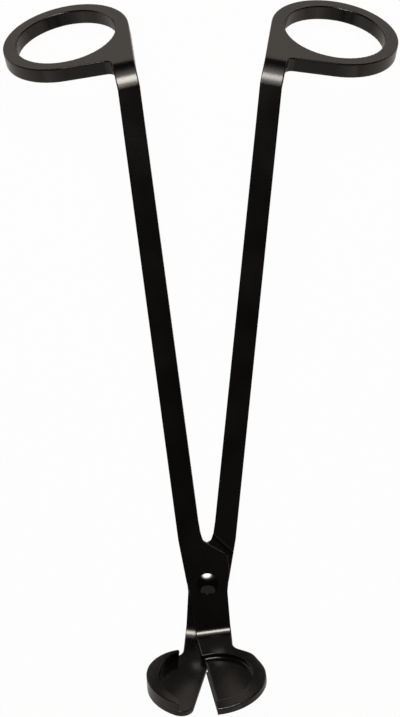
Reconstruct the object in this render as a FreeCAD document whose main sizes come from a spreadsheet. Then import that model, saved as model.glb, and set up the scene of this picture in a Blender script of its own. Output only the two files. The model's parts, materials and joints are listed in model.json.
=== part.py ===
"""Wick trimmer: two crossed levers with finger loops, scissor jaws with a tray, and a screwed pivot.

Lever frame: the pivot is the origin, +Y runs up the arms, +Z is the front.  Both levers are
described closed, arms parallel, with their arm on the -X side and their jaw on the +X side;
the back lever is the same description mirrored in X.  Each lever end has a frame of its own in
its bend: X along the bend line, Z square to the bent plate.
"""
import FreeCAD, Part
import math
import os
import Sketcher
from FreeCAD import Placement, Rotation, Vector

doc = FreeCAD.newDocument("wick_trimmer")

# ---------------------------------------------------------------- driving dimensions (mm, degrees)
SIZES = [
    ("bar_thickness", 4.0, "thickness of the bar both levers are made from"),
    ("arm_width", 5.7, "width of a straight arm"),
    ("arm_gap", 0.5, "gap between the arms' inner edges when the jaws are shut"),
    ("slip_gap", 0.2, "gap between the half laps, filled by the slip washer"),
    ("running_gap", 0.02, "play beside each washer and under the pivot's head"),
    ("edge_round", 0.25, "rounding of the levers' handled edges"),
    ("rest_opening", 13.5, "angle between the arms at rest"),
    ("loop_corner_height", 132.9, "front corner of the finger loop's bend, above the pivot"),
    ("loop_bend_angle", 56.5, "angle of the finger loop's bend"),
    ("loop_bend_radius", 9.2, "outside radius of the finger loop's bend"),
    ("loop_bend_cant", 5.3, "cant of the bend line across the arm"),
    ("loop_offset", 13.9, "finger hole's centre, out from the middle of the arm"),
    ("loop_height", 24.3, "finger hole's centre, from the bend corner"),
    ("loop_hole_radius", 13.3, "finger hole"),
    ("loop_wall", 3.45, "width of the plate round the finger hole"),
    ("loop_root_height", 5.95, "height at which the loop's lower edge leaves the arm"),
    ("loop_root_radius", 2.3, "fillet under the loop's lower edge"),
    ("taper_height", 12.0, "height at which the arm's outer edge starts to narrow"),
    ("lap_waist_height", 1.4, "height of the kink in the lap's outer edge"),
    ("lap_waist_reach", 5.27, "lap's outer edge at that height"),
    ("neck_top_drop", 2.6, "start of the neck below the pivot"),
    ("neck_top_half", 4.75, "half width of the neck at its top"),
    ("neck_blade_half", 4.6, "neck's edge on the cutting side, at its foot"),
    ("neck_outer_half", 4.33, "neck's edge on the other side, at its foot"),
    ("lap_side_reach", 5.95, "lap's far side"),
    ("lap_side_foot", 2.6, "height at which the lap's far side turns into the neck"),
    ("lap_corner_height", 6.98, "height of the lap's far corner"),
    ("lap_corner_radius", 1.3, "rounding of the lap's far corner"),
    ("crotch_reach", 0.3, "inner end of the lap's upper edge, beside the arm"),
    ("crotch_height", 11.16, "height of that inner end"),
    ("crotch_radius", 0.8, "fillet between the lap's upper edge and the arm"),
    ("crotch_narrow", 2.0, "height over which the arm's inner edge draws in by half its gap"),
    ("crotch_widen", 5.0, "height over which it reaches the full gap"),
    ("shoulder_gap", 1.5, "gap up the arm between the lap's edge and the other lever's shoulder"),
    ("jaw_corner_drop", 12.75, "front corner of the jaw's bend, below the pivot"),
    ("jaw_bend_angle", 59.2, "angle of the jaw's bend"),
    ("jaw_bend_radius", 3.0, "inside radius of the jaw's bend"),
    ("tray_radius", 12.45, "outer radius of the tray"),
    ("tray_offset", 0.55, "sideways place of the tray's centre"),
    ("tray_height", 19.76, "tray's centre, from the bend corner"),
    ("flare_height", 6.7, "corner at which the neck opens out to the tray"),
    ("flare_radius", 3.4, "fillet in that corner"),
    ("shoulder_inset", 3.35, "jaw's corner above the tray's round, in from the tray's radius"),
    ("shoulder_rise", 9.36, "height of that corner above the tray's centre"),
    ("shoulder_radius", 6.0, "rounding of that corner"),
    ("blade_tip_inset", 1.1, "front blade's cutting edge at the tip, from the lever's middle"),
    ("recess_margin", 2.35, "front jaw's recess: its radius is less than the tray's by this"),
    ("recess_offset", 1.5, "sideways place of the recess"),
    ("recess_rise", 1.11, "recess's centre, above the tray's centre"),
    ("recess_depth", 1.25, "depth of the recess"),
    ("recess_fillet", 0.35, "fillet round the recess's floor"),
    ("blade_bevel", 0.8, "width of the bevel along the front blade's edge"),
    ("blade_bevel_depth", 0.35, "fall of that bevel"),
    ("floor_thickness", 1.6, "thickness of the back jaw's floor"),
    ("floor_inset", 0.55, "back jaw's round: its radius is less than the front one's by this"),
    ("floor_edge_height", 4.0, "height at which the back jaw's cutting edge starts"),
    ("floor_edge_reach", 2.98, "back jaw's cutting edge there"),
    ("floor_tip_inset", 0.55, "back jaw's cutting edge at the tip, past the lever's middle"),
    ("floor_tip_radius", 3.4, "rounding of the back jaw's tip"),
    ("rim_rise", 0.6, "height of the tray rim above the front jaw"),
    ("rim_flare", 0.35, "outward lean of the tray rim's wall, from its foot to its top"),
    ("rim_shift", 3.1, "sideways shift of the rim's inner wall, which makes it a crescent"),
    ("rim_lift", 0.9, "centre of that inner wall, above the tray's centre"),
    ("rim_inner_inset", 0.2, "that wall's radius is less than the tray's by this"),
    ("rim_root_angle", 23.3, "tray rim's end beside the neck, from straight up"),
    ("rim_tip_angle", 15.6, "tray rim's end at the tip, from straight down"),
    ("rim_root_round", 0.5, "rounding of the rim's corner beside the neck"),
    ("rim_round", 0.15, "rounding of the rim's top edges"),
    ("ground_depth", 0.5, "relief ground under the front blade beside the throat"),
    ("ground_width", 2.4, "width of that relief"),
    ("ground_length", 14.0, "length of that relief along the blade"),
    ("pin_radius", 2.0, "pivot barrel"),
    ("pin_clearance", 0.05, "radial clearance of the barrel in the levers"),
    ("dome_radius", 2.7, "rim radius of the barrel's domed head"),
    ("dome_height", 0.58, "height of the domed head"),
    ("dome_edge", 0.12, "height of the head's upright edge"),
    ("slip_washer_radius", 4.2, "slip washer"),
    ("spring_height", 0.4, "height of the conical spring washer as fitted"),
    ("spring_thickness", 0.2, "thickness of its metal"),
    ("spring_radius", 3.4, "spring washer"),
    ("washer_thickness", 0.4, "back washer"),
    ("washer_radius", 3.7, "back washer"),
    ("screw_radius", 1.3, "screw's shank"),
    ("screw_reach", 2.6, "reach of the screw into the barrel"),
    ("screw_bottoming", 0.3, "space left beyond the screw's end"),
    ("screw_clearance", 0.05, "radial clearance of the screw in the barrel and the back washer"),
    ("screw_head_radius", 2.9, "screw's head"),
    ("screw_head_height", 1.0, "screw's head"),
    ("screw_head_bevel", 0.3, "bevel round the screw's head"),
    ("screw_slot_width", 0.8, "slot in the screw's head"),
    ("screw_slot_depth", 0.5, "slot in the screw's head"),
]

sheet = doc.addObject("Spreadsheet::Sheet", "sizes")
for row, (alias, number, note) in enumerate(SIZES, start=1):
    sheet.set("A%d" % row, note)
    sheet.set("B%d" % row, str(number))
    sheet.setAlias("B%d" % row, alias)
doc.recompute()


class Size:
    """A number with the expression that gives it from the sheet."""

    def __init__(self, value, text):
        self.value = float(value)
        self.text = text

    def __add__(self, other):
        other = as_size(other)
        return Size(self.value + other.value, "(%s + %s)" % (self.text, other.text))

    def __sub__(self, other):
        other = as_size(other)
        return Size(self.value - other.value, "(%s - %s)" % (self.text, other.text))

    def __mul__(self, other):
        other = as_size(other)
        return Size(self.value * other.value, "(%s * %s)" % (self.text, other.text))

    def __truediv__(self, other):
        other = as_size(other)
        return Size(self.value / other.value, "(%s / %s)" % (self.text, other.text))

    def __neg__(self):
        return Size(-self.value, "(-1 * %s)" % self.text)


def as_size(number):
    return number if isinstance(number, Size) else Size(number, "(%r)" % number)


def size(alias):
    return Size(getattr(sheet, alias), "sizes." + alias)


def sine(angle):
    return Size(math.sin(math.radians(angle.value)), "sin(%s)" % angle.text)


def cosine(angle):
    return Size(math.cos(math.radians(angle.value)), "cos(%s)" % angle.text)


def tangent(angle):
    return Size(math.tan(math.radians(angle.value)), "tan(%s)" % angle.text)


# ---------------------------------------------------------------- sketch and feature helpers
def new_body(name):
    return doc.addObject("PartDesign::Body", name)


def new_sketch(body, name, plane="XY_Plane", lift=None):
    """An empty sketch on one of the body's own planes, raised by lift."""
    sketch = body.newObject("Sketcher::SketchObject", name)
    planes = [f for f in body.Origin.OriginFeatures if f.Role == plane]
    sketch.AttachmentSupport = [(planes[0], "")]
    sketch.MapMode = "FlatFace"
    if lift is not None:
        sketch.AttachmentOffset = Placement(Vector(0, 0, lift.value), Rotation())
        sketch.setExpression("AttachmentOffset.Base.z", lift.text)
    return sketch


def constrain(sketch, *items):
    """Add one constraint; a Size at the end becomes its bound value."""
    if isinstance(items[-1], Size):
        number = items[-1]
        index = sketch.addConstraint(Sketcher.Constraint(*items[:-1], number.value))
        sketch.setExpression("Constraints[%d]" % index, number.text)
    else:
        sketch.addConstraint(Sketcher.Constraint(*items))


def pin_point(sketch, element, end, x=None, y=None):
    """Fix a point's coordinates from the sketch's origin."""
    for kind, number, axis in (("DistanceX", x, -2), ("DistanceY", y, -1)):
        if number is None:
            continue
        if abs(number.value) < 1e-9:
            constrain(sketch, "PointOnObject", element, end, axis)
        elif number.value > 0:
            constrain(sketch, kind, -1, 1, element, end, number)
        else:
            constrain(sketch, kind, element, end, -1, 1, -number)


def touch_point(point, centre, radius, turn, leaving):
    """Where a straight line from or to a point touches a circle that is followed in sense turn."""
    away = point - centre
    reach = away.Length
    half = math.acos(radius / reach)
    bearing = math.atan2(away.y, away.x) + (half if leaving != (turn > 0) else -half)
    return centre + Vector(math.cos(bearing), math.sin(bearing), 0) * radius


def corner(x, y):
    return ("corner", as_size(x), as_size(y))


def tip(x, y):
    """A corner on the neighbouring arc: x is its size and y only says which of two places."""
    return ("tip", as_size(x), y)


def arc(x, y, radius, turn):
    return ("arc", as_size(x), as_size(y), as_size(radius), turn)


def draw_loop(sketch, items):
    """Draw a closed outline of corners and arcs; a line meets an arc tangentially."""
    count = len(items)
    spots = {}
    for i, item in enumerate(items):
        if item[0] == "corner":
            spots[i] = Vector(item[1].value, item[2].value, 0)
        elif item[0] == "tip":
            near = items[i + 1] if items[(i + 1) % count][0] == "arc" else items[i - 1]
            across = item[1].value - near[1].value
            rise = math.sqrt(near[3].value ** 2 - across ** 2)
            spots[i] = Vector(item[1].value, near[2].value + math.copysign(rise, item[2]), 0)
    drawn = []
    for i, item in enumerate(items):
        after = items[(i + 1) % count]
        if item[0] == "arc":
            centre = Vector(item[1].value, item[2].value, 0)
            radius, turn = item[3].value, item[4]
            before_at, after_at = spots[(i - 1) % count], spots[(i + 1) % count]
            first, last = before_at, after_at
            if items[i - 1][0] == "corner":
                first = touch_point(before_at, centre, radius, turn, False)
            if after[0] == "corner":
                last = touch_point(after_at, centre, radius, turn, True)
            if items[i - 1][0] == "corner":
                drawn.append(("line", before_at, first, i - 1, i))
            drawn.append(("arc", first, last, i, item))
            if after[0] == "corner":
                drawn.append(("line", last, after_at, i, i + 1))
        elif after[0] != "arc":
            drawn.append(("line", spots[i], spots[(i + 1) % count], i, i + 1))
    elements = []
    for piece in drawn:
        if piece[0] == "line":
            elements.append((sketch.addGeometry(Part.LineSegment(piece[1], piece[2])), 1, 2))
        else:
            data = piece[4]
            centre = Vector(data[1].value, data[2].value, 0)
            start, end = (piece[1], piece[2]) if data[4] > 0 else (piece[2], piece[1])
            low = math.atan2(start.y - centre.y, start.x - centre.x)
            high = math.atan2(end.y - centre.y, end.x - centre.x)
            while high <= low:
                high += 2 * math.pi
            circle = Part.Circle(centre, Vector(0, 0, 1), data[3].value)
            added = sketch.addGeometry(Part.ArcOfCircle(circle, low, high))
            elements.append((added, 1, 2) if data[4] > 0 else (added, 2, 1))
            pin_point(sketch, added, 3, data[1], data[2])
            constrain(sketch, "Radius", added, data[3])
    for n, piece in enumerate(drawn):
        following = (n + 1) % len(drawn)
        here, there = elements[n], elements[following]
        kinds = {piece[0], drawn[following][0]}
        shared = None
        if piece[0] == "line" and drawn[following][0] == "line":
            shared = items[piece[4] % count]
        elif piece[0] == "line" and items[piece[4] % count][0] == "tip":
            shared = items[piece[4] % count]
        elif piece[0] == "arc" and items[(piece[3] + 1) % count][0] == "tip":
            shared = items[(piece[3] + 1) % count]
        if shared is None and kinds == {"line", "arc"}:
            constrain(sketch, "Tangent", here[0], here[2], there[0], there[1])
            continue
        constrain(sketch, "Coincident", here[0], here[2], there[0], there[1])
        if shared[0] == "corner":
            pin_point(sketch, here[0], here[2], shared[1], shared[2])
        else:
            pin_point(sketch, here[0], here[2], shared[1])


def draw_circle(sketch, x, y, radius):
    centre = Vector(x.value, y.value, 0)
    added = sketch.addGeometry(Part.Circle(centre, Vector(0, 0, 1), radius.value))
    pin_point(sketch, added, 3, x, y)
    constrain(sketch, "Radius", added, radius)


def add_pad(body, sketch, length, both_ways=False, turned=False):
    pad = body.newObject("PartDesign::Pad", sketch.Name + "_pad")
    pad.Profile = sketch
    pad.setExpression("Length", length.text)
    pad.Midplane = both_ways
    pad.Reversed = turned
    doc.recompute()
    return pad


def add_pocket(body, sketch, length, both_ways=False, turned=False):
    before = body.Shape.Volume
    pocket = body.newObject("PartDesign::Pocket", sketch.Name + "_pocket")
    pocket.Profile = sketch
    pocket.setExpression("Length", length.text)
    pocket.Midplane = both_ways
    pocket.Reversed = turned
    doc.recompute()
    if not body.Shape.Volume < before:
        raise RuntimeError(sketch.Name + " cuts nothing")
    return pocket


def pick_edges(shape, wanted):
    """Names of the edges that wanted accepts."""
    names = ["Edge%d" % number for number, edge in enumerate(shape.Edges, start=1)
             if wanted(edge)]
    if not names:
        raise RuntimeError("no such edge")
    return names


def add_fillet(body, wanted, radius):
    base = body.Tip
    fillet = body.newObject("PartDesign::Fillet", base.Name + "_round")
    fillet.Base = (base, pick_edges(base.Shape, wanted))
    fillet.setExpression("Radius", radius.text)
    doc.recompute()
    return fillet


def is_corner(shape, edge):
    """Whether two faces meet at a real corner along an edge."""
    middle = edge.valueAt((edge.FirstParameter + edge.LastParameter) / 2)
    normals = [face.normalAt(*face.Surface.parameter(middle))
               for face in shape.ancestorsOfType(edge, Part.Face)]
    return len(normals) == 2 and normals[0].getAngle(normals[1]) > 0.7


def round_edges(body, left_out):
    """Round the corners of a bent plate's outline, but for those that left_out accepts."""
    shape = body.Tip.Shape
    add_fillet(body, lambda edge: is_corner(shape, edge) and not left_out(edge),
               size("edge_round"))


def upright(x, y):
    """Test for a straight edge along Z at a place."""
    def wanted(edge):
        ends = [v.Point for v in edge.Vertexes]
        return len(ends) == 2 and all(math.hypot(p.x - x.value, p.y - y.value) < 1e-3
                                      for p in ends)
    return wanted


def add_turning(body, name, corners):
    """Revolve a section, given as radius and height, about the pivot's axis."""
    sketch = new_sketch(body, name, "XZ_Plane")
    draw_loop(sketch, corners)
    turning = body.newObject("PartDesign::Revolution", name + "_turned")
    turning.Profile = sketch
    turning.ReferenceAxis = (sketch, ["V_Axis"])
    turning.Angle = 360
    doc.recompute()
    return turning


# ---------------------------------------------------------------- shared values
SPAN = Size(200.0, "200")
MARGIN = Size(1.0, "1")
arm_inner = size("arm_gap") / 2
arm_outer = arm_inner + size("arm_width")
arm_middle = arm_inner + size("arm_width") / 2
half_bar = size("bar_thickness") / 2
half_slip = size("slip_gap") / 2
lap_thickness = half_bar - half_slip
lap_gap_depth = lap_thickness + size("slip_gap")
cant = size("loop_bend_cant")
loop_angle = size("loop_bend_angle")
loop_tangent = size("loop_bend_radius") * tangent(loop_angle / 2)
loop_outer_radius = size("loop_hole_radius") + size("loop_wall")
band_inner = (size("arm_width") / 2 - loop_tangent * sine(cant)) / cosine(cant)
band_outer = (size("arm_width") / 2 + loop_tangent * sine(cant)) / cosine(cant)
jaw_angle = size("jaw_bend_angle")
jaw_tangent = size("jaw_bend_radius") * tangent(jaw_angle / 2)
neck_foot = size("jaw_corner_drop") - jaw_tangent
floor_radius = size("tray_radius") - size("floor_inset")
recess_radius = size("tray_radius") - size("recess_margin")
recess_height = size("tray_height") - size("recess_rise")
shoulder_reach = size("tray_radius") - size("shoulder_inset")
shoulder_height = size("tray_height") - size("shoulder_rise")
pin_hole_radius = size("pin_radius") + size("pin_clearance")


def loop_frame(side):
    """Finger loop's frame, at the middle of the arm on the bend's front corner."""
    place = Vector(-side * arm_middle.value, size("loop_corner_height").value, half_bar.value)
    turn = Rotation(Vector(0, 0, 1), side * cant.value)
    return Placement(place, turn * Rotation(Vector(1, 0, 0), -loop_angle.value))


def jaw_frame():
    """Jaw's frame, on the lever's middle line at the bend's front corner; -Y runs down the jaw."""
    place = Vector(0, -size("jaw_corner_drop").value, half_bar.value)
    return Placement(place, Rotation(Vector(1, 0, 0), -jaw_angle.value))


# ---------------------------------------------------------------- lever pieces
def make_bar(name, side):
    """Straight arm, half lap and neck; side is 1 for the front lever and -1 for the back one."""
    body = new_body(name)
    outline = new_sketch(body, name + "_outline")
    foot = size("loop_corner_height") - loop_tangent * cosine(cant)
    lean = tangent(cant)
    reach_in = (arm_middle - loop_tangent * sine(cant)) - arm_inner
    reach_out = arm_outer - (arm_middle - loop_tangent * sine(cant))
    draw_loop(outline, [
        corner(arm_inner * -side, foot + reach_in * lean),
        corner(arm_outer * -side, foot - reach_out * lean),
        corner(arm_outer * -side, size("taper_height")),
        corner(size("lap_waist_reach") * -side, size("lap_waist_height")),
        corner(size("neck_top_half") * -side, -size("neck_top_drop")),
        corner(size("neck_blade_half") * -side, -neck_foot),
        corner(size("neck_outer_half") * side, -neck_foot),
        corner(size("neck_top_half") * side, -size("neck_top_drop")),
        corner(size("lap_side_reach") * side, size("lap_side_foot")),
        corner(size("lap_side_reach") * side, size("lap_corner_height")),
        corner(size("crotch_reach") * side, size("crotch_height")),
        corner(arm_inner / 2 * -side, size("crotch_height") + size("crotch_narrow")),
        corner(arm_inner * -side, size("crotch_height") + size("crotch_widen")),
    ])
    add_pad(body, outline, size("bar_thickness"), both_ways=True)
    add_fillet(body, upright(size("lap_side_reach") * side, size("lap_corner_height")),
               size("lap_corner_radius"))
    add_fillet(body, upright(size("crotch_reach") * side, size("crotch_height")),
               size("crotch_radius"))
    lap = new_sketch(body, name + "_lap", lift=half_slip * side)
    wide = arm_outer + 3
    slope = (size("crotch_height") - size("lap_corner_height")) \
        / (size("lap_side_reach") - size("crotch_reach"))
    middle = size("crotch_height") + size("crotch_reach") * slope + size("shoulder_gap")
    draw_loop(lap, [
        corner(wide * side, middle + wide * slope),
        corner(wide * -side, middle - wide * slope),
        corner(wide * -side, -neck_foot - 1),
        corner(wide * side, -neck_foot - 1),
    ])
    add_pocket(body, lap, size("bar_thickness"), turned=side < 0)
    shut = half_bar.value - 1e-6

    def plain(edge):
        """Edges off the outer faces, at the two bends and down the blade's side."""
        ends = [v.Point for v in edge.Vertexes]
        return (any(abs(p.z) < shut for p in ends)
                or all(p.y < size("lap_waist_height").value + 1e-6 and p.x * side < 0 for p in ends)
                or all(p.y < -neck_foot.value + 1e-6 for p in ends)
                or all(p.y > (foot - reach_out * lean).value - 1e-6 for p in ends))

    round_edges(body, plain)
    hole = new_sketch(body, name + "_pivot_hole")
    draw_circle(hole, Size(0, "0"), Size(0, "0"), pin_hole_radius)
    add_pocket(body, hole, SPAN, both_ways=True)
    return body


def make_strip(body, name, outline, width):
    """Bent plate: its side outline padded across."""
    sketch = new_sketch(body, name, "YZ_Plane")
    draw_loop(sketch, outline)
    add_pad(body, sketch, width, both_ways=True)


def make_loop(name, side):
    """Bend and finger loop, in the loop's own frame."""
    body = new_body(name)
    thick = size("bar_thickness")
    bend = size("loop_bend_radius")
    start = -(loop_tangent * cosine(loop_angle))
    top = size("loop_height") + loop_outer_radius + 5
    make_strip(body, name + "_strip", [
        corner(top, 0),
        arc(loop_tangent, -bend, bend, 1),
        tip(start, 1),
        tip(start + thick * sine(loop_angle), 1),
        arc(loop_tangent, -bend, bend - thick, -1),
        corner(top, -thick),
    ], (size("loop_offset") + loop_outer_radius) * 2 + 4)
    trim = new_sketch(body, name + "_outline")
    wide = size("loop_offset") + loop_outer_radius + 5
    low = start - 3
    draw_loop(trim, [
        corner(wide * side, top + 2),
        corner(wide * -side, top + 2),
        corner(wide * -side, low - 2),
        corner(wide * side, low - 2),
    ])
    draw_loop(trim, [
        corner(band_inner * side, low),
        corner(band_inner * side, loop_tangent),
        arc(size("loop_offset") * -side, size("loop_height"), loop_outer_radius, side),
        corner(band_outer * -side, size("loop_root_height")),
        corner(band_outer * -side, low),
    ])
    draw_circle(trim, size("loop_offset") * -side, size("loop_height"), size("loop_hole_radius"))
    add_pocket(body, trim, SPAN, both_ways=True)
    add_fillet(body, upright(band_outer * -side, size("loop_root_height")),
               size("loop_root_radius"))
    up = Vector(0, cosine(loop_angle).value, sine(loop_angle).value)
    round_edges(body, lambda edge: all(v.Point.dot(up) < 1e-6 - loop_tangent.value
                                       for v in edge.Vertexes))
    body.Placement = loop_frame(side)
    return body


def bevel_blade(body, name):
    """Bevel the recess's floor down to the cutting edge, from one end of the recess to the other."""
    sideways = size("blade_tip_inset").value - size("tray_offset").value
    length = size("tray_height").value + math.sqrt(size("tray_radius").value ** 2 - sideways ** 2)
    edge = Vector(size("neck_blade_half").value - size("blade_tip_inset").value, -length, 0)
    edge.normalize()
    start = Vector(-size("neck_blade_half").value, 0, 0)
    centre = Vector(-size("recess_offset").value, -recess_height.value, 0)
    middle = edge.dot(centre - start)
    aside = (centre - start - edge * middle).Length
    half = math.sqrt(recess_radius.value ** 2 - aside ** 2)
    place = start + edge * (middle - half)
    section = new_sketch(body, name + "_bevel", "XZ_Plane")
    turn = Rotation(Vector(0, 1, 0), math.degrees(math.atan2(edge.x, -edge.y)))
    section.AttachmentOffset = Placement(Vector(place.x, 0, -place.y), turn)
    floor = -size("recess_depth")
    draw_loop(section, [
        corner(-1, floor),
        corner(size("blade_bevel"), floor),
        corner(0, floor - size("blade_bevel_depth")),
        corner(-1, floor - size("blade_bevel_depth")),
    ])
    add_pocket(body, section, Size(half * 2, repr(half * 2)), turned=True)


def grind_blade(body, name, bend):
    """Relieve the underside of the front blade, round the bend and along the throat."""
    edge = size("neck_blade_half") - size("ground_width")
    relief = new_sketch(body, name + "_relief", "YZ_Plane", lift=-edge)
    shallow = bend + lap_thickness - size("ground_depth")
    deep = bend + lap_thickness + 1
    draw_loop(relief, [
        corner(-size("ground_length"), bend - shallow),
        arc(-jaw_tangent, bend, shallow, 1),
        tip(shallow * sine(jaw_angle) - jaw_tangent, -1),
        tip(deep * sine(jaw_angle) - jaw_tangent, -1),
        arc(-jaw_tangent, bend, deep, -1),
        corner(-size("ground_length"), bend - deep),
    ])
    add_pocket(body, relief, size("ground_width") + 1)


def lean_round(body, name, side, radius, under):
    """Lean the back jaw's round, from its shoulder past its tip, to run on from the rim's wall."""
    lean = size("rim_flare") / (lap_gap_depth + size("rim_rise"))
    centre = Vector(-size("tray_offset").value, -size("tray_height").value, 0)
    shoulder = Vector(shoulder_reach.value * side, -shoulder_height.value, 0)
    first = touch_point(shoulder, centre, radius.value, side, True) - centre
    begins = math.degrees(math.atan2(first.y, first.x))
    ends = 290
    section = new_sketch(body, name + "_lean", "XZ_Plane")
    turn = Rotation(Vector(0, 1, 0), (begins + ends) / 2)
    section.AttachmentOffset = Placement(Vector(centre.x, 0, -centre.y), turn)
    low = under + MARGIN
    high = lap_gap_depth - MARGIN
    draw_loop(section, [
        corner(radius + lean * (lap_gap_depth - high), -high),
        corner(radius + lean * (lap_gap_depth - low), -low),
        corner(radius + MARGIN * 2, -low),
        corner(radius + MARGIN * 2, -high),
    ])
    before = body.Shape.Volume
    groove = body.newObject("PartDesign::Groove", name + "_leaned")
    groove.Profile = section
    groove.ReferenceAxis = (section, ["V_Axis"])
    groove.Midplane = True
    groove.Angle = ends - begins
    doc.recompute()
    if not body.Shape.Volume < before:
        raise RuntimeError(name + " is not leaned")


def make_jaw(name, side):
    """Bend and jaw, in the jaw's own frame: a recessed blade in front, a tray floor behind."""
    body = new_body(name)
    front = side > 0
    top = Size(0, "0") if front else lap_gap_depth
    under = lap_thickness if front else lap_gap_depth + size("floor_thickness")
    back = lap_thickness if front else size("bar_thickness")
    end = -(size("tray_height") + size("tray_radius") + 3)
    half_turn = tangent(jaw_angle / 2)
    bend = size("jaw_bend_radius") + top
    drop = (under - back * cosine(jaw_angle)) / sine(jaw_angle)
    under_bend = (jaw_tangent + drop) / half_turn
    under_middle = back * sine(jaw_angle) - drop * cosine(jaw_angle) - jaw_tangent - drop
    foot = jaw_tangent * cosine(jaw_angle)
    make_strip(body, name + "_strip", [
        corner(end, -top),
        arc(-jaw_tangent, bend - top, bend, 1),
        tip(foot + top * sine(jaw_angle), -1),
        tip(foot + back * sine(jaw_angle), -1),
        arc(under_middle, under_bend - under, under_bend, -1),
        corner(end, -under),
    ], (size("tray_radius") + size("tray_offset")) * 2 + 4)
    trim = new_sketch(body, name + "_outline")
    wide = size("tray_radius") + size("tray_offset") + 5
    high = size("bar_thickness") * 2
    centre = size("tray_offset") * -1
    radius = size("tray_radius") if front else floor_radius
    draw_loop(trim, [
        corner(wide * side, high + 2),
        corner(wide * -side, high + 2),
        corner(wide * -side, end - 2),
        corner(wide * side, end - 2),
    ])
    if front:
        blade = [
            corner(size("neck_blade_half") * -side, high),
            corner(size("neck_blade_half") * -side, 0),
            tip(size("blade_tip_inset") * -side, -1),
        ]
    else:
        blade = [
            corner(size("neck_blade_half") * -side, high),
            corner(size("neck_blade_half") * -side, -(size("floor_edge_height") / 2)),
            corner(size("floor_edge_reach") * -side, -size("floor_edge_height")),
            tip(size("floor_tip_inset") * side, -1),
        ]
    draw_loop(trim, blade + [
        arc(centre, -size("tray_height"), radius, side),
        corner(shoulder_reach * side, -shoulder_height),
        corner(size("neck_outer_half") * side, -size("flare_height")),
        corner(size("neck_outer_half") * side, high),
    ])
    add_pocket(body, trim, SPAN, both_ways=True)
    add_fillet(body, upright(size("neck_outer_half") * side, -size("flare_height")),
               size("flare_radius"))
    add_fillet(body, upright(shoulder_reach * side, -shoulder_height),
               size("shoulder_radius"))
    up = Vector(0, cosine(jaw_angle).value, sine(jaw_angle).value)

    def plain(edge):
        """Edges at the bend's end and along the blade."""
        return (edge.CenterOfMass.x * side < 0
                or all(v.Point.dot(up) > jaw_tangent.value - 1e-6 for v in edge.Vertexes))

    if front:
        round_edges(body, plain)
        recess = new_sketch(body, name + "_recess")
        draw_circle(recess, -size("recess_offset"), -recess_height, recess_radius)
        add_pocket(body, recess, size("recess_depth"))
        floor = -size("recess_depth").value

        def on_floor(edge):
            return all(abs(v.Z - floor) < 1e-6 for v in edge.Vertexes)

        add_fillet(body, lambda e: on_floor(e) and hasattr(e.Curve, "Radius"),
                   size("recess_fillet"))
        bevel_blade(body, name)
        grind_blade(body, name, bend)
    else:
        lean_round(body, name, side, radius, under)
        tip_inset = size("floor_tip_inset").value
        lowest_point = size("tray_height").value + radius.value

        def at_tip(edge):
            """The corner between the round and the cutting edge."""
            bottom, top = sorted(edge.Vertexes, key=lambda v: v.Z)
            return (top.Z - bottom.Z > 1 and abs(top.X - tip_inset * side) < 1
                    and top.Y < 2 - lowest_point)

        add_fillet(body, at_tip, size("floor_tip_radius"))
        shape = body.Tip.Shape
        add_fillet(body, lambda edge: is_corner(shape, edge) and not plain(edge)
                   and edge.BoundBox.ZMax < 1e-6 - under.value, size("edge_round"))
    body.Placement = jaw_frame()
    return body


def make_lever(label, side):
    pieces = [make_bar(label + "_bar", side), make_loop(label + "_loop", side),
              make_jaw(label + "_jaw", side)]
    lever = doc.addObject("Part::MultiFuse", label)
    lever.Shapes = pieces
    lever.Refine = True
    doc.recompute()
    return lever


def make_rim():
    """Crescent wall on the back jaw's floor, in the jaw's frame."""
    body = new_body("tray_rim")
    base = new_sketch(body, "rim_outer", lift=-lap_gap_depth)
    draw_circle(base, size("tray_offset") * -1, -size("tray_height"), floor_radius)
    tall = lap_gap_depth + size("rim_rise")
    wall = add_pad(body, base, tall)
    flare = size("rim_flare") / tall
    wall.setExpression("TaperAngle", "atan(%s)" % flare.text)
    inner = new_sketch(body, "rim_inner")
    draw_circle(inner, size("rim_shift") - size("tray_offset"),
                size("rim_lift") - size("tray_height"),
                size("tray_radius") - size("rim_inner_inset"))
    add_pocket(body, inner, SPAN, both_ways=True)
    ends = new_sketch(body, "rim_ends")
    far = size("tray_radius") * 2
    root_reach = size("tray_offset") + floor_radius * sine(size("rim_root_angle"))
    tip_reach = size("tray_offset") + floor_radius * sine(size("rim_tip_angle"))
    draw_loop(ends, [
        corner(-root_reach, -size("tray_height")),
        corner(-root_reach, far - size("tray_height")),
        corner(far, far - size("tray_height")),
        corner(far, -(size("tray_height") + far)),
        corner(-tip_reach, -(size("tray_height") + far)),
        corner(-tip_reach, -size("tray_height")),
    ])
    add_pocket(body, ends, SPAN, both_ways=True)
    root = -root_reach.value
    outermost = max(v.Y for v in body.Tip.Shape.Vertexes if abs(v.X - root) < 1e-3)

    def root_corner(edge):
        """The end's upright corner on the outside."""
        lowest, highest = sorted(edge.Vertexes, key=lambda v: v.Z)
        return (abs(highest.X - root) < 1e-3 and abs(lowest.X - root) < 1e-3
                and highest.Y > outermost - 1e-3 and highest.Z - lowest.Z > 1)

    add_fillet(body, root_corner, size("rim_root_round"))
    roof = size("rim_rise").value
    add_fillet(body, lambda edge: all(abs(v.Z - roof) < 1e-3 for v in edge.Vertexes),
               size("rim_round"))
    return body


# ---------------------------------------------------------------- pivot pieces
front_face = half_bar + size("running_gap")
back_face = -(half_bar + size("running_gap"))
barrel_end = back_face - size("spring_height")
screw_seat = barrel_end - size("washer_thickness")
screw_hole = size("screw_radius") + size("screw_clearance")


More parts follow.
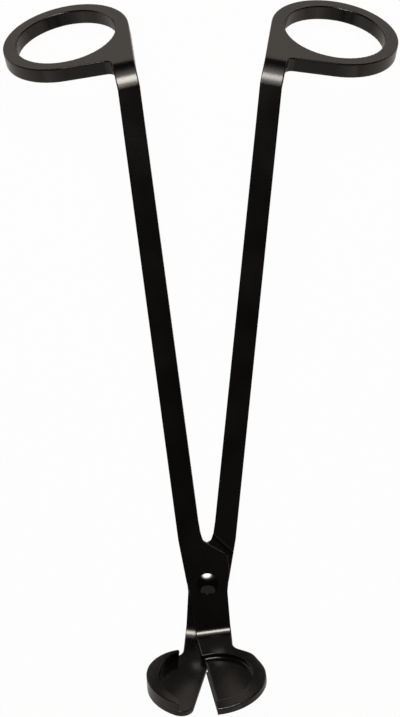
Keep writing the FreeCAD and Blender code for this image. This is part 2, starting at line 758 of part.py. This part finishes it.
def make_barrel():
    """Barrel with a domed head in front, threaded from behind."""
    body = new_body("pivot_barrel")
    dome = (size("dome_radius") * size("dome_radius")
            + size("dome_height") * size("dome_height")) / (size("dome_height") * 2)
    crown = front_face + size("dome_edge") + size("dome_height")
    blind = barrel_end + size("screw_reach") + size("screw_bottoming")
    add_turning(body, "barrel_section", [
        tip(0, 1),
        corner(0, blind),
        corner(screw_hole, blind),
        corner(screw_hole, barrel_end),
        corner(size("pin_radius"), barrel_end),
        corner(size("pin_radius"), front_face),
        corner(size("dome_radius"), front_face),
        tip(size("dome_radius"), 1),
        arc(0, crown - dome, dome, 1),
    ])
    return body


def make_screw():
    """Slotted screw that closes the pivot from behind."""
    body = new_body("pivot_screw")
    head_end = screw_seat - size("screw_head_height")
    add_turning(body, "screw_section", [
        corner(0, head_end),
        corner(size("screw_head_radius") - size("screw_head_bevel"), head_end),
        corner(size("screw_head_radius"), head_end + size("screw_head_bevel")),
        corner(size("screw_head_radius"), screw_seat),
        corner(size("screw_radius"), screw_seat),
        corner(size("screw_radius"), barrel_end + size("screw_reach")),
        corner(0, barrel_end + size("screw_reach")),
    ])
    slot = new_sketch(body, "screw_slot", lift=head_end)
    half = size("screw_slot_width") / 2
    wide = size("screw_head_radius") + 1
    draw_loop(slot, [corner(-wide, -half), corner(wide, -half), corner(wide, half),
                     corner(-wide, half)])
    add_pocket(body, slot, size("screw_slot_depth"), turned=True)
    return body


def make_ring(label, section):
    """Washer, from the corners of its section."""
    body = new_body(label)
    add_turning(body, label + "_section", section)
    return body


def make_washers():
    """Slip washer between the laps, conical spring washer and flat washer behind."""
    slip = half_slip - size("running_gap")
    slip_washer = make_ring("slip_washer", [
        corner(pin_hole_radius, -slip),
        corner(size("slip_washer_radius"), -slip),
        corner(size("slip_washer_radius"), slip),
        corner(pin_hole_radius, slip),
    ])
    spring_washer = make_ring("spring_washer", [
        corner(pin_hole_radius, barrel_end),
        corner(size("spring_radius"), back_face - size("spring_thickness")),
        corner(size("spring_radius"), back_face),
        corner(pin_hole_radius, barrel_end + size("spring_thickness")),
    ])
    back_washer = make_ring("back_washer", [
        corner(screw_hole, screw_seat),
        corner(size("washer_radius"), screw_seat),
        corner(size("washer_radius"), barrel_end),
        corner(screw_hole, barrel_end),
    ])
    return [slip_washer, spring_washer, back_washer]


front_lever = make_lever("front_lever", 1)
back_lever = make_lever("back_lever", -1)
tray_rim = make_rim()
pivot = [make_barrel(), make_screw()] + make_washers()

# ---------------------------------------------------------------- placing


def rest_placement(levers):
    """Lay the opened trimmer on its back: it stands on the back jaw's bend and both loops."""
    points = [v for lever in levers for v in lever.tessellate(0.02)[0]]
    centre = sum((lever.CenterOfMass * lever.Volume for lever in levers), Vector())
    balance = centre.y / sum(lever.Volume for lever in levers)
    lower = []
    for point in sorted(points, key=lambda v: (v.y, v.z)):
        while len(lower) > 1:
            back, last = lower[-2], lower[-1]
            if (last.y - back.y) * (point.z - back.z) > (last.z - back.z) * (point.y - back.y):
                break
            lower.pop()
        lower.append(point)
    for left, right in zip(lower, lower[1:]):
        if left.y <= balance < right.y:
            lean = math.degrees(math.atan2(left.z - right.z, right.y - left.y))
    tilt = Rotation(Vector(1, 0, 0), lean)
    laid = [tilt.multVec(point) for point in points]
    middle_x = (min(v.x for v in laid) + max(v.x for v in laid)) / 2
    middle_y = (min(v.y for v in laid) + max(v.y for v in laid)) / 2
    return Placement(Vector(-middle_x, -middle_y, -min(v.z for v in laid)), tilt)


half_opening = size("rest_opening").value / 2
opened = {
    front_lever: Placement(Vector(), Rotation(Vector(0, 0, 1), half_opening)),
    back_lever: Placement(Vector(), Rotation(Vector(0, 0, 1), -half_opening)),
}
resting = rest_placement([lever.Shape.Solids[0].transformed(turn.toMatrix())
                          for lever, turn in opened.items()])
for lever, turn in opened.items():
    lever.Placement = resting * turn
tray_rim.Placement = resting * opened[back_lever] * jaw_frame()
for piece in pivot:
    piece.Placement = resting * opened[back_lever]
doc.recompute()

# ---------------------------------------------------------------- checks and export
parts = [front_lever, back_lever, tray_rim] + pivot
for thing in doc.Objects:
    if "Invalid" in thing.State or "Error" in thing.State:
        raise RuntimeError("%s is %s" % (thing.Name, thing.State))
for part in parts:
    if part.Shape.isNull() or not part.Shape.isValid() or len(part.Shape.Solids) != 1:
        raise RuntimeError("%s is not one valid solid" % part.Label)
os.makedirs("parts", exist_ok=True)
for part in parts:
    part.Shape.exportStep("parts/%s.step" % part.Label)
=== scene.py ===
# %% [markdown]
# # A wick trimmer, dressed for its portrait
# The trimmer is two bent steel levers that cross at a domed pivot.  Each lever ends in a finger
# loop above and in half of a little tray below, and all that shows from the front is black.  The
# solids come ready made from the workshop model.  This lesson gives them their finishes, lays them
# on a pale table and lights them the way a product studio would.

# %% Load the model
import json
import math

import bpy
from mathutils import Matrix, Vector

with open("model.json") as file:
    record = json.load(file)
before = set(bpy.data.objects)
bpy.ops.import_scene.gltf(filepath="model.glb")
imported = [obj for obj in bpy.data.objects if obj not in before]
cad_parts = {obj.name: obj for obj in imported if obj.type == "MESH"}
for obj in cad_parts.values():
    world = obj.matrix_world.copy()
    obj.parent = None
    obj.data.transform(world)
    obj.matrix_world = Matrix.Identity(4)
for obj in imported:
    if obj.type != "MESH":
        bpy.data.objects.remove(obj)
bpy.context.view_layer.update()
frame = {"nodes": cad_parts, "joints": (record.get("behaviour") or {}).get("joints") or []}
print("solids:", ", ".join(sorted(frame["nodes"])))

# %% [markdown]
# ## Directions on the trimmer
# The trimmer lies on its back.  Its loops are bent backwards and prop up that end, its pivot hangs
# just above the table, and its tray is bent forwards, so the levers lean by some eleven degrees.
# World axes would be awkward, so every later place is given from the pivot: sideways, along the
# levers towards the loops, and forwards out of their flat fronts.  The pivot's own joint supplies
# the place and the forward direction.

# %% Places measured from the pivot
pivot_joint = frame["joints"][0]
pivot_at = Vector(pivot_joint["pos_m"])
front = Vector(pivot_joint["axis"]).normalized()
across = Vector((1, 0, 0))
along = front.cross(across).normalized()


def from_pivot(sideways, upwards, forwards):
    """A place given in metres across, along and in front of the levers, from the pivot."""
    return pivot_at + across * sideways + along * upwards + front * forwards


def stand(x_axis, y_axis, z_axis, place):
    """The matrix of a thing that stands at a place, turned to three directions."""
    return Matrix((
        (x_axis.x, y_axis.x, z_axis.x, place.x),
        (x_axis.y, y_axis.y, z_axis.y, place.y),
        (x_axis.z, y_axis.z, z_axis.z, place.z),
        (0, 0, 0, 1)))


print("levers lean by %.2f degrees" % math.degrees(math.atan2(along.z, along.y)))

# %% [markdown]
# ## Camera
# A product portrait of a flat tool is taken from straight in front of it with a long lens, so that
# both levers keep their true shapes.  The camera stands not quite a metre off, faces the levers and
# is rolled by less than a degree, because a hand-placed tool never lies exactly square.  Its matrix
# is built from three directions: where it looks, what is up, and what is right.  The Standard view
# shows each colour as it is written.

# %% Place the camera
SENSOR_MM = 36.0
LENS_MM = 324.0
ROLL = math.radians(0.9)
eye = from_pivot(0.01474, 0.05719, 0.918)
aim = from_pivot(-0.00107, 0.05744, 0.0)

camera_data = bpy.data.cameras.new("portrait_camera")
camera_data.sensor_fit = "HORIZONTAL"
camera_data.sensor_width = SENSOR_MM
camera_data.lens = LENS_MM
camera = bpy.data.objects.new("portrait_camera", camera_data)
bpy.context.scene.collection.objects.link(camera)
looking = (aim - eye).normalized()
upright = along * math.cos(ROLL) + across * math.sin(ROLL)
right = looking.cross(upright).normalized()
camera.matrix_world = stand(right, right.cross(looking), -looking, eye)
bpy.context.scene.camera = camera
bpy.context.scene.view_settings.view_transform = "Standard"
print("camera stands %.3f m from the pivot" % (eye - pivot_at).length)

# %% [markdown]
# ## Helpers for finishes
# Every finish starts as a Principled shader.  Numbers that are the same all over a piece are set on
# the shader's own sockets.  What varies, such as mottling in the colour or a ripple in the surface,
# comes from noise on Object coordinates, which are metres on the real piece, so a scale of 1000
# means detail about a millimetre across.  A finish then goes on the solids as they are, because
# their shapes are already right.

# %% Start a material and put it on


def new_material(name):
    """An empty Principled material, with what is needed to wire it."""
    material = bpy.data.materials.new(name)
    material.use_nodes = True
    nodes = material.node_tree.nodes
    return material, nodes, material.node_tree.links, nodes["Principled BSDF"]


def dress(material, *names):
    """Give a finish to solids that keep their own shape."""
    for name in names:
        slots = frame["nodes"][name].data.materials
        slots.clear()
        slots.append(material)
    print(material.name, "on", ", ".join(names))


# %% [markdown]
# ## What varies over a surface
# A noise gives a value from 0 to 1 at each place, and nearly all of them lie in its middle.  One
# helper eases that middle over a range of numbers, such as roughness, and another blends two
# colours by it.

# %% Vary a number or a colour
NOISE_MIDDLE = (0.3, 0.7)
BLEND_STOPS = (0.35, 0.65)


def noise(nodes, links, scale, detail, stretch=(1, 1, 1)):
    """Noise in metres on the piece, drawn out along an axis where stretch is small."""
    place = nodes.new("ShaderNodeTexCoord")
    mapping = nodes.new("ShaderNodeMapping")
    mapping.inputs["Scale"].default_value = stretch
    links.new(place.outputs["Object"], mapping.inputs["Vector"])
    texture = nodes.new("ShaderNodeTexNoise")
    texture.inputs["Scale"].default_value = scale
    texture.inputs["Detail"].default_value = detail
    links.new(mapping.outputs["Vector"], texture.inputs["Vector"])
    return texture.outputs["Fac"]


def spread(nodes, links, source, low, high, span=NOISE_MIDDLE):
    """Ease from low to high while the source goes over its span."""
    ramp = nodes.new("ShaderNodeMapRange")
    ramp.interpolation_type = "SMOOTHSTEP"
    ramp.inputs["From Min"].default_value = span[0]
    ramp.inputs["From Max"].default_value = span[1]
    ramp.inputs["To Min"].default_value = low
    ramp.inputs["To Max"].default_value = high
    links.new(source, ramp.inputs["Value"])
    return ramp.outputs["Result"]


def two_tones(nodes, links, source, dark, light):
    """Blend two colours by a noise."""
    ramp = nodes.new("ShaderNodeValToRGB")
    for stop, place, tone in zip(ramp.color_ramp.elements, BLEND_STOPS, (dark, light)):
        stop.position = place
        stop.color = tone + (1,)
    links.new(source, ramp.inputs["Fac"])
    return ramp.outputs["Color"]


# %% [markdown]
# ## Edges and bumps
# Stamped and coated pieces have no knife-sharp edges.  A Bevel node bends the shading across each
# edge as if it were rounded, and the Bump node works on top of that, so one helper does both.  The
# solid itself keeps its shape.

# %% Soften edges and raise a texture
EDGE_SOFTNESS_M = 0.0004
BEVEL_SAMPLES = 8


def bump(nodes, links, source, height, shader):
    """Soften the edges' shading, then raise the surface by a noise; height is in metres."""
    soften = nodes.new("ShaderNodeBevel")
    soften.samples = BEVEL_SAMPLES
    soften.inputs["Radius"].default_value = EDGE_SOFTNESS_M
    relief = nodes.new("ShaderNodeBump")
    links.new(soften.outputs["Normal"], relief.inputs["Normal"])
    relief.inputs["Strength"].default_value = 1.0
    relief.inputs["Distance"].default_value = height
    links.new(source, relief.inputs["Height"])
    links.new(relief.outputs["Normal"], shader.inputs["Normal"])


# %% [markdown]
# ## The levers' black coating
# The levers are stamped from steel strip, bent twice and then coated: a baked black film a few
# hundredths of a millimetre thick.  It is nearly black in itself, and what the eye sees is its
# sheen.  The film levels itself while it is wet, but keeps a faint orange peel less than a
# millimetre across, and the steel's rolling marks under it vary the sheen in soft patches.

# %% Coat the levers and the tray's rim


def black_coating():
    """The baked film on the levers."""
    material, nodes, links, shader = new_material("black_coating")
    shader.inputs["IOR"].default_value = 1.52
    shader.inputs["Specular Tint"].default_value = (1.0, 0.94, 0.88, 1)
    patches = noise(nodes, links, scale=70, detail=3)
    tones = two_tones(nodes, links, patches,
                      dark=(0.0018, 0.0015, 0.0014), light=(0.0032, 0.0026, 0.0024))
    links.new(tones, shader.inputs["Base Color"])
    links.new(spread(nodes, links, patches, 0.145, 0.185), shader.inputs["Roughness"])
    orange_peel = noise(nodes, links, scale=1500, detail=2)
    bump(nodes, links, orange_peel, height=0.000012, shader=shader)
    return material


dress(black_coating(), "front_lever", "back_lever", "tray_rim")

# %% [markdown]
# ## The pivot's dome
# The pivot's barrel has a low dome, which is polished before it is blacked, so it mirrors the
# studio in one small crisp spot.  It needs no bump: a smooth dome shows every ripple as dirt.

# %% Gloss the barrel


def gloss_black():
    """The blacked polish on the pivot's head."""
    material, nodes, links, shader = new_material("gloss_black")
    shader.inputs["IOR"].default_value = 1.8
    patches = noise(nodes, links, scale=300, detail=2)
    tones = two_tones(nodes, links, patches,
                      dark=(0.0003, 0.0003, 0.0003), light=(0.0007, 0.0007, 0.0007))
    links.new(tones, shader.inputs["Base Color"])
    links.new(spread(nodes, links, patches, 0.07, 0.10), shader.inputs["Roughness"])
    return material


dress(gloss_black(), "pivot_barrel")

# %% [markdown]
# ## The screw behind
# The screw that closes the barrel is blacked too, but its face still shows the rings that the lathe
# left.  A Wave texture draws rings round its own Z axis, so its coordinates are first brought to
# the pivot and turned until that axis is the screw's.

# %% Turn the screw


def turned_black():
    """Blacked steel with a lathe's rings round the pivot."""
    material, nodes, links, shader = new_material("turned_black")
    shader.inputs["Metallic"].default_value = 0.6
    place = nodes.new("ShaderNodeTexCoord")
    centre = nodes.new("ShaderNodeMapping")
    centre.vector_type = "POINT"
    tilt = front.to_track_quat("Z", "Y").inverted()
    centre.inputs["Rotation"].default_value = tilt.to_euler()
    centre.inputs["Location"].default_value = -(tilt @ pivot_at)
    links.new(place.outputs["Object"], centre.inputs["Vector"])
    rings = nodes.new("ShaderNodeTexWave")
    rings.wave_type = "RINGS"
    rings.rings_direction = "Z"
    rings.inputs["Scale"].default_value = 900
    rings.inputs["Distortion"].default_value = 0.6
    links.new(centre.outputs["Vector"], rings.inputs["Vector"])
    grooves = rings.outputs["Fac"]
    tones = two_tones(nodes, links, grooves,
                      dark=(0.010, 0.010, 0.011), light=(0.030, 0.029, 0.028))
    links.new(tones, shader.inputs["Base Color"])
    links.new(spread(nodes, links, grooves, 0.28, 0.42), shader.inputs["Roughness"])
    bump(nodes, links, grooves, height=0.000004, shader=shader)
    return material


dress(turned_black(), "pivot_screw")

# %% [markdown]
# ## The washers
# The washers are bare steel, stamped from rolled sheet.  Rolling draws the grain out one way, so
# the noise is stretched along the levers.

# %% Leave the washers bare


def washer_steel():
    """Bare rolled steel with a fine grain."""
    material, nodes, links, shader = new_material("washer_steel")
    shader.inputs["Metallic"].default_value = 1.0
    grain = noise(nodes, links, scale=2500, detail=4, stretch=(1, 0.06, 1))
    tones = two_tones(nodes, links, grain, dark=(0.42, 0.41, 0.40), light=(0.58, 0.57, 0.55))
    links.new(tones, shader.inputs["Base Color"])
    links.new(spread(nodes, links, grain, 0.26, 0.40), shader.inputs["Roughness"])
    bump(nodes, links, grain, height=0.000003, shader=shader)
    return material


dress(washer_steel(), "slip_washer", "spring_washer", "back_washer")

# %% [markdown]
# ## The table
# The trimmer lies on a pale sheet of paper that runs far beyond the view.  The camera sees the
# paper close to pure white, through a share of plain emission that only its rays meet, and
# mirrored rays meet a tenth of that.  The rest is ordinary warm grey paper, which takes the
# trimmer's faint shadow.  The loops' faces tip back so far that they mirror the lit paper just
# beyond them, which is why they look dark brown and not black.

# %% Lay the paper
PAPER_REACH_M = 4
CAMERA_SHARE = 0.975
MIRROR_SHARE = 0.1

table = bpy.data.meshes.new("table")
table.from_pydata([(side * PAPER_REACH_M, end * PAPER_REACH_M, 0)
                   for side, end in ((-1, -1), (1, -1), (1, 1), (-1, 1))], [], [(0, 1, 2, 3)])
table_top = bpy.data.objects.new("table", table)
bpy.context.scene.collection.objects.link(table_top)


def arithmetic(nodes, links, operation, *terms):
    """A Math node whose terms are sockets or plain numbers."""
    step = nodes.new("ShaderNodeMath")
    step.operation = operation
    for slot, term in zip(step.inputs, terms):
        if isinstance(term, (int, float)):
            slot.default_value = term
        else:
            links.new(term, slot)
    return step.outputs["Value"]


def white_paper():
    """Warm grey paper that the camera sees as white."""
    material, nodes, links, shader = new_material("white_paper")
    fibres = noise(nodes, links, scale=400, detail=3)
    tones = two_tones(nodes, links, fibres,
                      dark=(0.475, 0.435, 0.405), light=(0.515, 0.475, 0.445))
    links.new(tones, shader.inputs["Base Color"])
    shader.inputs["Roughness"].default_value = 0.9
    glow = nodes.new("ShaderNodeEmission")
    glow.inputs["Strength"].default_value = 1.0
    rays = nodes.new("ShaderNodeLightPath").outputs
    mirrored = arithmetic(nodes, links, "MULTIPLY", rays["Is Glossy Ray"], MIRROR_SHARE)
    share = arithmetic(nodes, links, "MULTIPLY_ADD", rays["Is Camera Ray"], CAMERA_SHARE, mirrored)
    mix = nodes.new("ShaderNodeMixShader")
    links.new(share, mix.inputs["Fac"])
    links.new(shader.outputs["BSDF"], mix.inputs[1])
    links.new(glow.outputs["Emission"], mix.inputs[2])
    links.new(mix.outputs["Shader"], nodes["Material Output"].inputs["Surface"])
    return material


table.materials.append(white_paper())
print("paper is %.0f m across" % table_top.dimensions.x)

# %% [markdown]
# ## Studio light
# A black glossy thing is lit by what it reflects.  One round softbox hangs beyond the finger
# loops, a little higher than half-way up to the camera's height.  Its reflection misses the flat
# arms, which stay black, and lands on whatever tips towards it: a band across each bend and one
# spot on the dome.  A weak card beyond the tray gives the dome its second, dim reflection.  Both
# are given by how bright they look, their radiance, and a flat lamp's power is that times pi times
# its area.

# %% Hang the softbox and the card


def light_panel(name, centre, width, length, radiance, colour):
    """A flat oval lamp that lies parallel to the levers' fronts and shines down on them."""
    lamp = bpy.data.lights.new(name, "AREA")
    lamp.shape = "ELLIPSE"
    lamp.size = width
    lamp.size_y = length
    oval_area = math.pi / 4 * width * length
    lamp.energy = radiance * math.pi * oval_area
    lamp.color = colour
    panel = bpy.data.objects.new(name, lamp)
    bpy.context.scene.collection.objects.link(panel)
    panel.matrix_world = stand(across, along, front, centre)
    print("%s: %.0f W" % (name, lamp.energy))
    return lamp


softbox = light_panel("softbox", from_pivot(-0.09, 0.71, 0.91), width=0.9, length=0.72,
                      radiance=18.0, colour=(1.0, 0.985, 0.96))
light_panel("card", from_pivot(0.0, -0.72, 0.91), width=1.3, length=1.16,
            radiance=0.17, colour=(1.0, 0.95, 0.9))

# %% [markdown]
# ## A softbox that fades to its rim
# Cloth over one lamp is bright in the middle and dim at the rim, so its reflections have soft ends.
# Two lamps stacked in one place would hide each other, so one lamp grades itself.  Its own nodes
# read where on the panel a point lies, from 0 to 1 each way, and dim it by the distance from the
# middle.

# %% Fade the softbox
PANEL_MIDDLE = (0.5, 0.5, 0)
FADE_SPAN = (0.12, 0.5)
RIM_SHARE = 0.1

softbox.use_nodes = True
nodes, links = softbox.node_tree.nodes, softbox.node_tree.links
on_panel = nodes.new("ShaderNodeNewGeometry")
from_middle = nodes.new("ShaderNodeVectorMath")
from_middle.operation = "DISTANCE"
from_middle.inputs[1].default_value = PANEL_MIDDLE
links.new(on_panel.outputs["Parametric"], from_middle.inputs[0])
dimming = spread(nodes, links, from_middle.outputs["Value"], 1.0, RIM_SHARE, span=FADE_SPAN)
links.new(dimming, nodes["Emission"].inputs["Strength"])
print("softbox fades to %.1f of its strength at the rim" % RIM_SHARE)

# %% [markdown]
# ## The room
# The rest of the room is dark overhead, where the arms' flat fronts look, and pale low down, most
# of all beyond the tray's end, where the walls of the bent pieces look.  The wall beyond the loops
# catches some spill from the softbox, strongest just under it.  That spill gives the light band on
# each loop's bend its long soft end, and keeps the tray's halves from going black.
#
# Both are painted by direction: a ray is compared with a chosen direction, which gives 1 where it
# points straight there and less the further it turns away.  The camera sees plain white wherever
# it looks past the table.

# %% Surround the table
DARKEST_ELEVATION = 68
SPILL_ELEVATION = 44
WALL_STRENGTH = 0.9
CEILING_STRENGTH = 0.015
WALL_TO_CEILING = (-0.25, 0.3)
SPILL_STRENGTH = 2.8
SPILL_FOCUS = 24

world = bpy.data.worlds.new("studio")
bpy.context.scene.world = world
world.use_nodes = True
nodes, links = world.node_tree.nodes, world.node_tree.links
background = nodes["Background"]
background.inputs["Color"].default_value = (1, 1, 1, 1)
ray_direction = nodes.new("ShaderNodeTexCoord").outputs["Generated"]


def facing(elevation):
    """How nearly a ray points above the loops' end of the levers, at an elevation in degrees."""
    steep = math.radians(elevation)
    compare = nodes.new("ShaderNodeVectorMath")
    compare.operation = "DOT_PRODUCT"
    compare.inputs[1].default_value = front * math.sin(steep) + along * math.cos(steep)
    links.new(ray_direction, compare.inputs[0])
    return compare.outputs["Value"]


walls = spread(nodes, links, facing(DARKEST_ELEVATION),
               WALL_STRENGTH, CEILING_STRENGTH, WALL_TO_CEILING)
towards_spill = arithmetic(nodes, links, "MAXIMUM", facing(SPILL_ELEVATION), 0.0)
spill = arithmetic(nodes, links, "POWER", towards_spill, SPILL_FOCUS)
room = arithmetic(nodes, links, "MULTIPLY_ADD", spill, SPILL_STRENGTH, walls)
seen = nodes.new("ShaderNodeMix")
seen.inputs["B"].default_value = 1.0
links.new(nodes.new("ShaderNodeLightPath").outputs["Is Camera Ray"], seen.inputs["Factor"])
links.new(room, seen.inputs["A"])
links.new(seen.outputs["Result"], background.inputs["Strength"])
print("room: %.3f overhead, %.1f low down, a glow under the softbox"
      % (CEILING_STRENGTH, WALL_STRENGTH))
